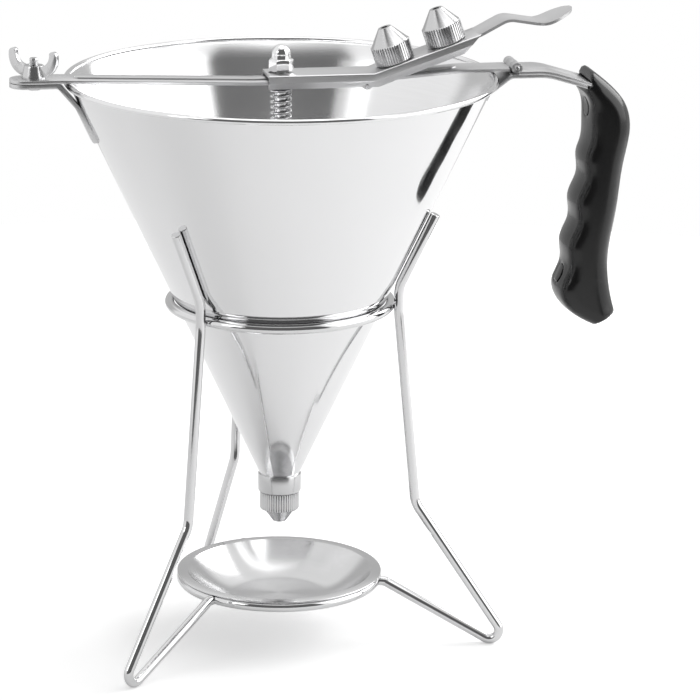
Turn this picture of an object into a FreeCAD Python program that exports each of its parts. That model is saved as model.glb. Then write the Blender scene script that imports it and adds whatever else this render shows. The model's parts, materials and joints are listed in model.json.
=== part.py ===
# Batter dispenser: a funnel with a spring valve, hung in a wire stand over a drip tray.
# Millimetres. The origin is on the standing surface, on the funnel's axis.
# +X points along the bridge bar to the handle, and +Z points up.
import FreeCAD, Part
import math
import os

V = FreeCAD.Vector
UP = V(0, 0, 1)
ACROSS = V(0, 1, 0)

# Funnel bowl and its outlet
RIM_HEIGHT = 270.0
RIM_RADIUS = 98.8
BEAD_RADIUS = 1.3
CONE_SLOPE = 0.468
CONE_WALL = 0.8
OUTLET_RADIUS = 9.5
COLLAR_RADIUS = 10.2
COLLAR_HEIGHT = 8.5
VALVE_BORE = 4.6
SEAT_DEPTH = 2.5
SPIGOT_RADIUS = 7.6
SPIGOT_LENGTH = 7.0

# Nozzles
NOZZLE_RADIUS = 9.3
SKIRT_HEIGHT = 8.8
SKIRT_CHAMFER = 0.6
NOZZLE_WALL = 1.0
FITTED_TIP_HEIGHT = 6.2
SPARE_TIP_HEIGHT = 7.6
SHOULDER_RADIUS = 7.2
TIP_RADIUS = 3.1
FITTED_ORIFICE = 1.6
SMALL_ORIFICE = 1.2
LARGE_ORIFICE = 2.1
SPIGOT_CLEARANCE = 0.06

# Stand wire
WIRE_RADIUS = 2.3
RING_HEIGHT = 163.0
TRAY_RING_RADIUS = 46.6
LEG_COUNT = 3
LEG_AZIMUTH = -20.0
PRONG_HEIGHT = 208.0
PRONG_KINK = 10.0
KNEE_RADIUS = 65.0
KNEE_HEIGHT = 68.0
FOOT_REACH = 106.0
FOOT_BEND = 4.6
LEG_BEND = 14.0
SHIN_BEND = 60.0
WELD_DEPTH = 0.15

# Drip tray
TRAY_RIM_RADIUS = 48.6
TRAY_RIM_WIDTH = 4.8
TRAY_RIM_HEIGHT = 31.0
TRAY_DEPTH = 12.5
TRAY_FLOOR_RADIUS = 30.0
TRAY_BULGE = 2.4
TRAY_BULGE_SHARE = 0.36
SHEET_THIN = 0.8

# Bridge bar, measured up from the rim plane where it says rise
STUD_OUT = 15.0
STUD_X = -RIM_RADIUS - STUD_OUT
HINGE_OUT = 10.5
HINGE_X = RIM_RADIUS + HINGE_OUT
BAR_WIDTH = 16.0
BAR_SHEET = 1.5
BAR_END_RISE = 1.9
BAR_SAG = 3.2
BAR_LOW_RISE = BAR_END_RISE - BAR_SAG
BAR_TAIL = 11.2
BAR_LEFT = STUD_X - BAR_TAIL
BAR_FLAT_START = 11.8
BAR_FLAT_LEFT = STUD_X + BAR_FLAT_START
BAR_LOW_LEFT = -14.0
BAR_LOW_RIGHT = 40.0
BAR_FLAT_END = 27.3
BAR_FLAT_RIGHT = HINGE_X - BAR_FLAT_END
BAR_BEND = 60.0
RIB_WIDTH = 6.0
RIB_HEIGHT = 0.7
RIB_START = 6.0
RIB_LEFT = BAR_FLAT_LEFT + RIB_START

# Bridge hinge
HINGE_RISE = 2.0
PIN_RADIUS = 1.2
HINGE_SHEET = 1.4
HINGE_WIDTH = 24.0
HINGE_SPAN = 18.0
CENTRE_KNUCKLE = 8.0
KNUCKLE_GAP = 0.3
PIN_CLEARANCE = 0.05
PIN_CROWN = 0.4
CURL_GAP = 0.4
CURL_ANGLE = 35.0

# Stud and wing nut
STUD_RADIUS = 2.05
STUD_RISE = 11.3
STUD_CHAMFER = 0.6
STUD_HOLE_RADIUS = 3.05
STUD_HEAD_RADIUS = 3.65
STUD_HEAD_HEIGHT = 1.4
WING_BORE = 2.5
WING_HUB_RADIUS = 5.4
WING_HUB_TOP = 4.4
WING_HUB_HEIGHT = 6.0
WING_SPAN = 26.0
WING_RISE = 13.0
WING_THICK = 2.2
WING_HUB_FOOT = 1.2
WING_CLEAR = 0.8
WING_BELLY = 1.2
WING_TIP_WIDTH = 3.8
WING_TIP_FALL = 0.8
WING_UPPER_SAG = 1.0
WING_ANGLE = -41.0
BRACKET_WIDTH = 16.0
BRACKET_SHEET = 2.0
BRACKET_LEG_START = 11.0
BRACKET_LEG_END = 27.5
BRACKET_BEND = 3.0
BRACKET_NECK = 10.5
PAD_LAP = 3.0

# Handle straps and grip: places are distances out from the hinge pin and down from the rim
STRAP_WIDTH = 24.0
STRAP_SHEET = 1.5
HANDLE_LEG_START = 9.0
HANDLE_LEG_END = 22.0
HANDLE_START = -3.5
STRAP_FLAT_END = 14.0
STRAP_SHOULDER = 36.0
STRAP_FALL = 6.6
TANG_LINE = [(46.2, 24.0), (36.4, 90.0), (35.0, 104.0)]
FOOT_BENDS = [3.0, 5.0]
UPPER_TAIL_SHORT = 1.0
GRIP_BACK = [(35.8, -0.4), (46.5, 8.4), (53.2, 17.0), (55.7, 28.0), (53.1, 44.6), (50.3, 67.0),
             (46.9, 90.0), (47.8, 103.5), (51.0, 116.8)]
GRIP_HEEL = [(39.7, 122.2), (29.0, 116.5), (23.4, 110.0), (22.2, 104.0)]
GRIP_LIP = [(35.3, 24.0), (34.6, 14.0), (32.2, 10.2)]
GROOVE_START = 94.0
GROOVE_PHASE = 46.0
GROOVE_LINE = 40.3
GROOVE_LEAN = 0.165
GRIP_MIDDLE = 30.0
GRIP_WIDTH = 28.0
GRIP_BACK_EDGE = 8.0
GRIP_FRONT_EDGE = 5.0
GROOVE_PITCH = 21.0
GROOVE_DEPTH = 2.15
GROOVE_POINTS = 12
TANG_WIDTH = 14.0
TANG_START = 33.0
HANDLE_BENDS = [30.0, 12.0, 14.0, 20.0]
CAVITY_GAP = 0.15
PLUG_RADIUS = 4.3
PLUG_LENGTH = 2.0
PLUG_OVERCUT = 2.0
SCREW_SPOTS = [(35.2, 18.5), (24.3, 98.5)]
SCREW_LEAN = 0.12
SCREW_RADIUS = 2.0
SCREW_LENGTH = 12.0
SCREW_BORE_DEPTH = 14.0
SCREW_CLEARANCE = 0.1
SCREW_HEAD_RADIUS = 3.4
SCREW_HEAD_HEIGHT = 1.7

# Thumb lever
LEVER_WIDTH = 19.5
LEVER_SHEET = 1.3
LEVER_OVER_RIB = 0.9
LEVER_RISE = BAR_LOW_RISE + RIB_HEIGHT + LEVER_OVER_RIB + LEVER_SHEET
LEVER_LEFT = -7.2
LEVER_BEND_X = 42.0
LEVER_SLOPE = 18.8
LEVER_FLANGE = 6.2
ARM_FLANGE = 5.8
FLANGE_END_X = 92.0
FLANGE_SLANT = 10.5
KNEE_SHIFT = 2.0
NECK_WIDTH = 17.0
NECK_LAP = 6.0
PEAK_X = 105.0
PEAK_LIFT = 2.4
DIP_X = 122.0
DIP_DROP = 2.8
TAB_X = 126.0
TAB_RADIUS = 10.5
TAB_LIFT = 6.9
NECK_BEND = 12.0
PEAK_BEND = 9.0
DIP_BEND = 14.0
LEVER_CORNER = 1.0
PIVOT_X = 38.5
PIVOT_DROP = 1.4
PIVOT_RISE = BAR_LOW_RISE - BAR_SHEET - PIVOT_DROP
PIVOT_PIN_RADIUS = 1.0
PIVOT_PIN_PROUD = 0.2
EAR_WALL = 0.6
EAR_HALF = 2.3
FULCRUM_WALL = 0.8
FULCRUM_SIDE_GAP = 0.5
POST_SMALL_X = 53.5
POST_LARGE_X = 77.5
POST_BORE = 3.0
POST_FLOOR = 1.5
POST_HEIGHT = 7.0
POST_CHAMFER = 0.5
SLOT_BACK = 5.9
SLOT_FRONT = 3.7

# Valve rod, nut, plug and spring
ROD_RADIUS = 3.0
ROD_CLEARANCE = 0.3
ROD_FOOT_CHAMFER = 0.5
ROD_TOP_CHAMFER = 0.8
ROD_IN_DOME = 2.0
PLUG_FLOOR = 1.5
PLUG_CHAMFER = 2.0
BAR_SLOT_HALF = 4.0
NUT_FLATS = 10.0
NUT_GAP = 0.5
NUT_HEX_HEIGHT = 6.0
NUT_HEIGHT = 12.6
NUT_DOME_RADIUS = 4.4
NUT_BEARING_RADIUS = 4.6
NUT_CHAMFER_FALL = 0.6
PLUG_BODY_RADIUS = 6.2
PLUG_HEIGHT = 7.0
SEAT_CLEARANCE = 0.3
WASHER_RADIUS = 6.0
WASHER_HOLE = 3.6
WASHER_SHEET = 1.1
WASHER_DROP = 0.35
WASHER_CONE = 0.4
SPRING_LENGTH = 40.0
SPRING_MEAN_RADIUS = 4.6
SPRING_WIRE_RADIUS = 0.6
SPRING_TURNS = 15.5
SPRING_END_TURNS = 1.0
SPRING_END_GAP = 0.55
COLLAR_STOP_RADIUS = 5.6
COLLAR_STOP_HEIGHT = 3.2
COLLAR_CHAMFER = 0.4
COLLAR_PIN_RADIUS = 0.8
COLLAR_PIN_PROUD = 0.8
FIT_GAP = 0.3
TOUCH = 0.02


def cone_radius(z):
    return RIM_RADIUS - CONE_SLOPE * (RIM_HEIGHT - z)


def rise(height):
    """Height above the standing surface of something given from the rim plane."""
    return RIM_HEIGHT + height


CONE_ANGLE = math.atan(CONE_SLOPE)
CONE_COS = math.cos(CONE_ANGLE)
OUTLET_HEIGHT = RIM_HEIGHT - (RIM_RADIUS - OUTLET_RADIUS) / CONE_SLOPE
COLLAR_BOTTOM = OUTLET_HEIGHT - COLLAR_HEIGHT
RING_RADIUS = cone_radius(RING_HEIGHT) + (WIRE_RADIUS + FIT_GAP) / CONE_COS
LEG_AT_RING = RING_RADIUS + 2 * WIRE_RADIUS - WELD_DEPTH
TRAY_RING_HEIGHT = TRAY_RIM_HEIGHT - SHEET_THIN - WIRE_RADIUS - TOUCH
KNUCKLE_RADIUS = PIN_RADIUS + HINGE_SHEET
LEVER_TAN = math.tan(math.radians(LEVER_SLOPE))
FAR = 2 * RIM_HEIGHT


def point(x, z):
    return V(x, 0, z)


def line(a, b):
    return Part.LineSegment(a, b).toShape()


def rounded_path(points, radii):
    """Edges through the points, with a tangent arc of the given radius at each inner point."""
    edges = []
    start = points[0]
    for i in range(1, len(points) - 1):
        corner = points[i]
        back = (points[i - 1] - corner).normalize()
        ahead = (points[i + 1] - corner).normalize()
        radius = radii[i - 1]
        half = back.getAngle(ahead) / 2
        if radius <= 0 or half > math.radians(89.9):
            edges.append(line(start, corner))
            start = corner
            continue
        reach = radius / math.tan(half)
        middle = (back + ahead).normalize() * (radius / math.sin(half) - radius)
        a, b = corner + back * reach, corner + ahead * reach
        if (a - start).Length > 1e-6:
            edges.append(line(start, a))
        edges.append(Part.Arc(a, corner + middle, b).toShape())
        start = b
    edges.append(line(start, points[-1]))
    return edges


def tube(edges, radius):
    """A round wire swept along the edges."""
    path = Part.Wire(edges)
    first = edges[0]
    start = first.valueAt(first.FirstParameter)
    direction = first.tangentAt(first.FirstParameter)
    ring = Part.Wire(Part.Circle(start, direction, radius).toShape())
    return path.makePipeShell([ring], True, False)


def offset_points(points, distance):
    """The open polyline in XZ moved sideways to its left, corner by corner."""
    moved = []
    for i, p in enumerate(points):
        before = (p - points[i - 1]).normalize() if i > 0 else (points[1] - p).normalize()
        after = (points[i + 1] - p).normalize() if i < len(points) - 1 else before
        left = V(-before.z, 0, before.x)
        left_after = V(-after.z, 0, after.x)
        mitre = (left + left_after).normalize()
        moved.append(p + mitre * (distance / mitre.dot(left)))
    return moved


def strip(points, radii, sheet, width):
    """A bent sheet strip: its middle line in XZ, its bend radii, its thickness and width."""
    above = offset_points(points, sheet / 2)
    below = offset_points(points, -sheet / 2)
    upper_radii, lower_radii = [], []
    for i in range(1, len(points) - 1):
        a = points[i] - points[i - 1]
        b = points[i + 1] - points[i]
        turn = a.x * b.z - a.z * b.x
        side = sheet / 2 if turn > 0 else -sheet / 2
        upper_radii.append(radii[i - 1] - side)
        lower_radii.append(radii[i - 1] + side)
    top = rounded_path(above, upper_radii)
    bottom = rounded_path(below, lower_radii)
    ends = [line(above[0], below[0]), line(above[-1], below[-1])]
    face = Part.Face(Part.Wire(Part.__sortEdges__(top + bottom + ends)))
    return face.extrude(ACROSS * width).translated(ACROSS * (-width / 2))


def revolved(points):
    """A closed outline of (radius, height) points turned about the Z axis."""
    corners = [point(r, z) for r, z in points]
    face = Part.Face(Part.makePolygon(corners + [corners[0]]))
    return face.revolve(V(0, 0, 0), UP, 360)


def cylinder(radius, height, base, direction=UP):
    return Part.makeCylinder(radius, height, base, direction)


def block(x0, x1, y0, y1, z0, z1):
    return Part.makeBox(x1 - x0, y1 - y0, z1 - z0, V(x0, y0, z0))


def slot(x0, x1, half_width, z0, z1):
    """A round-ended slot cutter along X."""
    middle = block(x0 + half_width, x1 - half_width, -half_width, half_width, z0, z1)
    for x in (x0 + half_width, x1 - half_width):
        middle = middle.fuse(cylinder(half_width, z1 - z0, V(x, 0, z0)))
    return middle.removeSplitter()


def single(shape):
    """The one solid of a cleaned-up shape."""
    clean = shape.removeSplitter()
    return clean.Solids[0] if len(clean.Solids) == 1 else clean


def funnel_cone():
    """Spun bowl: a straight cone with a rolled bead round its rim."""
    wall = CONE_WALL / CONE_COS
    top = RIM_HEIGHT - BEAD_RADIUS
    shell = revolved([
        (OUTLET_RADIUS, OUTLET_HEIGHT),
        (cone_radius(top), top),
        (cone_radius(top) - wall, top),
        (OUTLET_RADIUS - wall, OUTLET_HEIGHT),
    ])
    bead = Part.makeTorus(RIM_RADIUS, BEAD_RADIUS, V(0, 0, top), UP)
    return single(shell.fuse(bead))


def outlet_collar():
    """Turned outlet: a valve seat above, and below it the spigot that takes a nozzle."""
    spigot_end = COLLAR_BOTTOM - SPIGOT_LENGTH
    return revolved([
        (VALVE_BORE, spigot_end),
        (SPIGOT_RADIUS, spigot_end),
        (SPIGOT_RADIUS, COLLAR_BOTTOM),
        (COLLAR_RADIUS, COLLAR_BOTTOM),
        (COLLAR_RADIUS, OUTLET_HEIGHT - TOUCH),
        (VALVE_BORE + SEAT_DEPTH, OUTLET_HEIGHT - TOUCH),
        (VALVE_BORE, OUTLET_HEIGHT - TOUCH - SEAT_DEPTH),
    ])


def nozzle(tip_height, orifice):
    """Piping nozzle standing tip up on z = 0: a straight skirt and a hollow cone."""
    shoulder = SKIRT_HEIGHT
    tip = SKIRT_HEIGHT + tip_height
    bore = SPIGOT_RADIUS + SPIGOT_CLEARANCE
    inner_top = tip - NOZZLE_WALL
    return revolved([
        (bore, 0),
        (NOZZLE_RADIUS - SKIRT_CHAMFER, 0),
        (NOZZLE_RADIUS, SKIRT_CHAMFER),
        (NOZZLE_RADIUS, shoulder - SKIRT_CHAMFER),
        (NOZZLE_RADIUS - SKIRT_CHAMFER, shoulder),
        (SHOULDER_RADIUS, shoulder),
        (TIP_RADIUS, tip),
        (orifice, tip),
        (orifice, inner_top),
        (SHOULDER_RADIUS - NOZZLE_WALL, shoulder - NOZZLE_WALL),
        (bore, shoulder - NOZZLE_WALL),
    ])


def fitted_nozzle():
    shape = nozzle(FITTED_TIP_HEIGHT, FITTED_ORIFICE)
    shape.rotate(V(0, 0, 0), V(1, 0, 0), 180)
    return shape.translated(V(0, 0, COLLAR_BOTTOM - FIT_GAP))


def cone_pad(half_width, lowest, highest, sheet, side):
    """Bracket foot that follows the bowl's outside, on the +X or -X side."""
    across = sheet / CONE_COS
    touch = TOUCH / CONE_COS
    shell = revolved([
        (cone_radius(lowest) + touch, lowest),
        (cone_radius(lowest) + across, lowest),
        (cone_radius(highest) + across, highest),
        (cone_radius(highest) + touch, highest),
    ])
    x0, x1 = (0, FAR) if side > 0 else (-FAR, 0)
    return shell.common(block(x0, x1, -half_width, half_width, lowest, highest))


def bowl_outside():
    """Solid of the bowl's outer cone with its bore filled, for cutting against."""
    height = RIM_HEIGHT - OUTLET_HEIGHT
    return Part.makeCone(OUTLET_RADIUS + TOUCH, RIM_RADIUS + TOUCH, height, V(0, 0, OUTLET_HEIGHT), UP)


def stud_bracket():
    """Left lug: a flat ear for the stud that bends down on to the bowl."""
    top = rise(BAR_END_RISE) - BAR_SHEET - FIT_GAP
    middle = top - BRACKET_SHEET / 2
    pad_top = rise(-BRACKET_LEG_START)
    join = cone_radius(pad_top) + BRACKET_SHEET / 2 / CONE_COS
    path = [
        point(-join + CONE_SLOPE * PAD_LAP, pad_top - PAD_LAP),
        point(-join, pad_top),
        point(STUD_X + BRACKET_NECK, middle),
        point(BAR_LEFT, middle),
    ]
    ear = strip(path, [BRACKET_BEND, BRACKET_BEND], BRACKET_SHEET, BRACKET_WIDTH)
    pad = cone_pad(BRACKET_WIDTH / 2, rise(-BRACKET_LEG_END), pad_top, BRACKET_SHEET, -1)
    ear = ear.cut(bowl_outside()).fuse(pad)
    corners = cylinder(BRACKET_WIDTH / 2, 4 * BRACKET_SHEET,
                       V(BAR_LEFT + BRACKET_WIDTH / 2, 0, middle - 2 * BRACKET_SHEET))
    end = block(BAR_LEFT - 1, BAR_LEFT + BRACKET_WIDTH / 2, -BRACKET_WIDTH, BRACKET_WIDTH,
                middle - 2 * BRACKET_SHEET, middle + 2 * BRACKET_SHEET)
    ear = ear.cut(end.cut(corners))
    hole = cylinder(STUD_RADIUS + TOUCH, 4 * BRACKET_SHEET, V(STUD_X, 0, middle - 2 * BRACKET_SHEET))
    return single(ear.cut(hole))


def wing_stud():
    """Stud riveted through the left lug, with a low head under it."""
    top = rise(BAR_END_RISE) - BAR_SHEET - FIT_GAP
    under = top - BRACKET_SHEET
    end = rise(STUD_RISE)
    shape = revolved([
        (0, under - STUD_HEAD_HEIGHT),
        (STUD_HEAD_RADIUS - STUD_CHAMFER, under - STUD_HEAD_HEIGHT),
        (STUD_HEAD_RADIUS, under - TOUCH),
        (STUD_RADIUS, under - TOUCH),
        (STUD_RADIUS, end - STUD_CHAMFER),
        (STUD_RADIUS - STUD_CHAMFER, end),
        (0, end),
    ])
    return shape.translated(V(STUD_X, 0, 0))


def wing_nut():
    """Wing nut: a tapered hub with two upswept wings, clear of the stud's thread."""
    base = rise(BAR_END_RISE) + TOUCH
    top = base + WING_HUB_HEIGHT
    hub = revolved([(0, base), (WING_HUB_RADIUS, base), (WING_HUB_RADIUS, base + WING_HUB_FOOT),
                    (WING_HUB_TOP, top), (0, top)])
    tip = WING_SPAN / 2
    root = WING_BORE + TOUCH
    root_low = point(root, base + WING_CLEAR)
    root_high = point(root, top)
    under = point(WING_HUB_RADIUS, base + WING_CLEAR)
    under_middle = point(tip - WING_BELLY, base + WING_RISE * 0.4)
    tip_low = point(tip, base + WING_RISE - WING_THICK)
    tip_top = point(tip - WING_TIP_WIDTH * 0.4, base + WING_RISE)
    tip_in = point(tip - WING_TIP_WIDTH, base + WING_RISE - WING_TIP_FALL)
    upper_middle = point((tip + root) / 2 - WING_BELLY / 2, top + WING_UPPER_SAG)
    wing = Part.Wire([
        line(root_low, under),
        Part.Arc(under, under_middle, tip_low).toShape(),
        Part.Arc(tip_low, tip_top, tip_in).toShape(),
        Part.Arc(tip_in, upper_middle, root_high).toShape(),
        line(root_high, root_low),
    ])
    one = Part.Face(wing).extrude(ACROSS * WING_THICK).translated(ACROSS * (-WING_THICK / 2))
    other = one.copy()
    other.rotate(V(0, 0, 0), UP, 180)
    nut = hub.fuse([one, other]).cut(cylinder(WING_BORE, WING_RISE, V(0, 0, base - 1)))
    nut = single(nut)
    nut.rotate(V(0, 0, 0), UP, WING_ANGLE)
    return nut.translated(V(STUD_X, 0, 0))


def bar_path():
    """Middle line of the bridge bar: flat ends and a slightly lower centre."""
    end = rise(BAR_END_RISE) - BAR_SHEET / 2
    low = rise(BAR_LOW_RISE) - BAR_SHEET / 2
    return [
        point(BAR_LEFT, end),
        point(BAR_FLAT_LEFT, end),
        point(BAR_LOW_LEFT, low),
        point(BAR_LOW_RIGHT, low),
        point(BAR_FLAT_RIGHT, end),
        point(HINGE_X - PIN_RADIUS - PIN_CLEARANCE, end),
    ]


def knuckle(half_from, half_to):
    """One barrel of the bridge hinge between two distances along its pin."""
    base = V(HINGE_X, half_from, rise(HINGE_RISE))
    return cylinder(KNUCKLE_RADIUS, half_to - half_from, base, ACROSS)


def hinge_bore():
    base = V(HINGE_X, -HINGE_WIDTH, rise(HINGE_RISE))
    return cylinder(PIN_RADIUS + PIN_CLEARANCE, 2 * HINGE_WIDTH, base, ACROSS)


def bridge_bar():
    """Bar across the bowl: pressed rib, rod slot, stud hole and the centre hinge barrel."""
    path = bar_path()
    bends = [BAR_BEND] * (len(path) - 2)
    bar = strip(path, bends, BAR_SHEET, BAR_WIDTH)
    raised = [p + V(0, 0, RIB_HEIGHT) for p in path]
    rib = strip(raised, bends, BAR_SHEET, RIB_WIDTH)
    rib = rib.common(slot(RIB_LEFT, BAR_FLAT_RIGHT, RIB_WIDTH / 2, 0, FAR))
    groove_points = [p + V(0, 0, RIB_HEIGHT - BAR_SHEET) for p in path]
    groove = strip(groove_points, bends, BAR_SHEET, RIB_WIDTH - BAR_SHEET)
    groove = groove.common(slot(RIB_LEFT + BAR_SHEET, BAR_FLAT_RIGHT - BAR_SHEET,
                                (RIB_WIDTH - BAR_SHEET) / 2, 0, FAR))
    bar = bar.fuse(rib).cut(groove)
    end_x = BAR_LEFT + BAR_WIDTH / 2
    end_z = rise(BAR_END_RISE) - 2 * BAR_SHEET
    corner = block(BAR_LEFT - 1, end_x, -BAR_WIDTH, BAR_WIDTH, end_z, end_z + 4 * BAR_SHEET)
    corner = corner.cut(cylinder(BAR_WIDTH / 2, 8 * BAR_SHEET, V(end_x, 0, end_z - BAR_SHEET)))
    bar = bar.cut(corner)
    half = CENTRE_KNUCKLE / 2
    barrel = knuckle(-half, half)
    clear = KNUCKLE_RADIUS + 2 * KNUCKLE_GAP
    side_room = block(HINGE_X - clear, HINGE_X + clear, half, BAR_WIDTH, 0, FAR)
    bar = bar.cut([side_room, side_room.mirror(V(0, 0, 0), ACROSS)])
    bar = bar.fuse(barrel).cut(hinge_bore())
    rod_slot = slot(-BAR_SLOT_HALF, BAR_SLOT_HALF, ROD_RADIUS + ROD_CLEARANCE, 0, FAR)
    stud_hole = cylinder(STUD_HOLE_RADIUS, FAR, V(STUD_X, 0, 0))
    return single(bar.cut([rod_slot, stud_hole]))


def handle_line():
    """Middle line of the lower strap, from the bowl, out over the rim and down the grip."""
    low = rise(HINGE_RISE) - KNUCKLE_RADIUS - TOUCH - STRAP_SHEET / 2
    return [
        point(HINGE_X + HANDLE_START, low),
        point(HINGE_X + STRAP_FLAT_END, low),
        point(HINGE_X + STRAP_SHOULDER, low - STRAP_FALL),
    ] + on_handle(TANG_LINE)


def on_handle(places):
    """Points in the middle plane from distances out from the hinge pin and down from the rim."""
    return [point(HINGE_X + out, rise(-down)) for out, down in places]


def handle_bracket():
    """Lower strap: welded to the bowl, bent out past the bead and on as the grip's tang."""
    pad_top = rise(-HANDLE_LEG_START)
    join = cone_radius(pad_top) + STRAP_SHEET / 2 / CONE_COS
    foot = [point(join - CONE_SLOPE * PAD_LAP, pad_top - PAD_LAP), point(join, pad_top)]
    strap = strip(foot + handle_line(), FOOT_BENDS + HANDLE_BENDS, STRAP_SHEET, STRAP_WIDTH)
    pad = cone_pad(STRAP_WIDTH / 2, rise(-HANDLE_LEG_END), pad_top, STRAP_SHEET, 1)
    strap = strap.cut(bowl_outside()).fuse(pad)
    for side in (1, -1):
        y0, y1 = sorted((side * TANG_WIDTH / 2, side * STRAP_WIDTH))
        beyond = block(HINGE_X + TANG_START, FAR, y0, y1, 0, FAR)
        below = block(HINGE_X, FAR, y0, y1, 0, rise(-HANDLE_LEG_END))
        strap = strap.cut([beyond, below])
    for place, inward in screw_places():
        strap = strap.cut(cylinder(SCREW_RADIUS + SCREW_CLEARANCE, GRIP_WIDTH, place, inward))
    return single(strap)


def upper_line():
    """Middle line of the upper strap, lying on the lower one."""
    return offset_points(handle_line(), STRAP_SHEET + TOUCH)


def hinge_strap():
    """Upper strap: two hinge barrels curled up at its end, its tail caught in the grip."""
    points = upper_line()[:3]
    tail = (points[2] - points[1]).normalize()
    points[0] = point(HINGE_X, points[0].z)
    points[2] = points[2] - tail * UPPER_TAIL_SHORT
    strap = strip(points, HANDLE_BENDS[:1], STRAP_SHEET, HINGE_WIDTH)
    half = CENTRE_KNUCKLE / 2 + KNUCKLE_GAP
    clear = KNUCKLE_RADIUS + 2 * KNUCKLE_GAP
    strap = strap.fuse([knuckle(half, HINGE_SPAN / 2), knuckle(-HINGE_SPAN / 2, -half)])
    strap = strap.cut(block(HINGE_X - clear, HINGE_X + clear, -half, half, 0, FAR))
    curl_end = block(0, 2 * KNUCKLE_RADIUS, -HINGE_WIDTH, HINGE_WIDTH, 0, CURL_GAP)
    curl_end.rotate(V(0, 0, 0), ACROSS, -CURL_ANGLE)
    curl_end = curl_end.translated(V(HINGE_X, 0, rise(HINGE_RISE)))
    return single(strap.cut([hinge_bore(), curl_end]))


def hinge_pin():
    """Hinge pin with a low crown at each end."""
    half = HINGE_SPAN / 2
    z = rise(HINGE_RISE)
    pin = cylinder(PIN_RADIUS, 2 * half, V(HINGE_X, -half, z), ACROSS)
    for side in (1, -1):
        start = V(HINGE_X, side * half, z)
        pin = pin.fuse(Part.makeCone(PIN_RADIUS, PIN_RADIUS - PIN_CROWN, PIN_CROWN, start, ACROSS * side))
    return single(pin)


def grip_outline():
    """Side profile of the grip: mouth, hooked back, flared end and four shallow finger grooves."""
    grooves = []
    for i in range(GROOVE_POINTS):
        down = GROOVE_START - i * GROOVE_PITCH / 4
        wave = GROOVE_DEPTH / 2 * math.sin(2 * math.pi * (down - GROOVE_PHASE) / GROOVE_PITCH)
        grooves.append((GROOVE_LINE - down * GROOVE_LEAN + wave, down))
    behind = on_handle(GRIP_BACK)
    inside = on_handle(GRIP_HEEL + grooves + GRIP_LIP)
    back, front = Part.BSplineCurve(), Part.BSplineCurve()
    back.interpolate(behind)
    front.interpolate(inside)
    base = line(behind[-1], inside[0])
    mouth = line(inside[-1], behind[0])
    return Part.Wire([back.toShape(), base, front.toShape(), mouth])


def screw_places():
    """Where the two grip screws sit on the grip's inner face: centre and inward direction."""
    top, bottom = on_handle(SCREW_SPOTS)
    return [(top, V(1, 0, -SCREW_LEAN).normalize()), (bottom, V(1, 0, SCREW_LEAN).normalize())]


def grip_cavity(gap):
    """Room in the grip for both straps."""
    sheet = STRAP_SHEET + 2 * gap
    wide_end = block(HINGE_X, HINGE_X + TANG_START + gap, -STRAP_WIDTH, STRAP_WIDTH,
                     rise(-HANDLE_LEG_END), FAR)
    tang = strip(handle_line(), HANDLE_BENDS, sheet, TANG_WIDTH + 2 * gap)
    wide = strip(handle_line(), HANDLE_BENDS, sheet, STRAP_WIDTH + 2 * gap).common(wide_end)
    upper = strip(upper_line()[:3], HANDLE_BENDS[:1], sheet, HINGE_WIDTH + 2 * gap)
    return tang.fuse([wide, upper])


def long_edges(body, half, x, side):
    """The two long profile edges on the grip's flat sides, behind x or in front of it."""
    found = []
    for edge in body.Edges:
        box = edge.BoundBox
        flat = box.YLength < 0.01 and abs(abs(box.YMin) - half) < 0.01
        behind = box.XMin > x if side > 0 else box.XMin < x
        if flat and behind and box.ZLength > GRIP_WIDTH:
            found.append(edge)
    return found


def grip_body():
    """The grip's outer form, before it is hollowed."""
    half = GRIP_WIDTH / 2
    body = Part.Face(grip_outline()).extrude(ACROSS * GRIP_WIDTH).translated(ACROSS * (-half))
    middle = HINGE_X + GRIP_MIDDLE
    body = body.makeFillet(GRIP_BACK_EDGE, long_edges(body, half, middle, 1))
    return body.makeFillet(GRIP_FRONT_EDGE, long_edges(body, half, middle, -1))


def handle_grip():
    """Moulded grip, hollow where the straps and the screws go in."""
    body = grip_body().cut(grip_cavity(CAVITY_GAP))
    for place, inward in screw_places():
        under_plug = place + inward * PLUG_LENGTH
        body = body.cut([
            cylinder(PLUG_RADIUS + TOUCH, PLUG_LENGTH + PLUG_OVERCUT, place - inward * PLUG_OVERCUT, inward),
            cylinder(SCREW_HEAD_RADIUS + SCREW_CLEARANCE, SCREW_HEAD_HEIGHT + TOUCH, under_plug, inward),
            cylinder(SCREW_RADIUS + SCREW_CLEARANCE / 2, SCREW_BORE_DEPTH, under_plug, inward),
        ])
    return single(body)


def grip_plugs():
    """Round plugs that close the two screw holes, flush with the grip's curved face."""
    body = grip_body()
    plugs = []
    for place, inward in screw_places():
        plug = cylinder(PLUG_RADIUS, PLUG_LENGTH + PLUG_OVERCUT, place - inward * PLUG_OVERCUT, inward)
        plugs.append(single(plug.common(body)))
    return Part.makeCompound(plugs)


def grip_screws():
    """Pan-head screws through the tang, under the plugs."""
    screws = []
    for place, inward in screw_places():
        head_at = place + inward * (PLUG_LENGTH + TOUCH)
        head = cylinder(SCREW_HEAD_RADIUS, SCREW_HEAD_HEIGHT, head_at, inward)
        shank = cylinder(SCREW_RADIUS, SCREW_LENGTH, head_at, inward)
        screws.append(single(head.fuse(shank)))
    return Part.makeCompound(screws)


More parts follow.
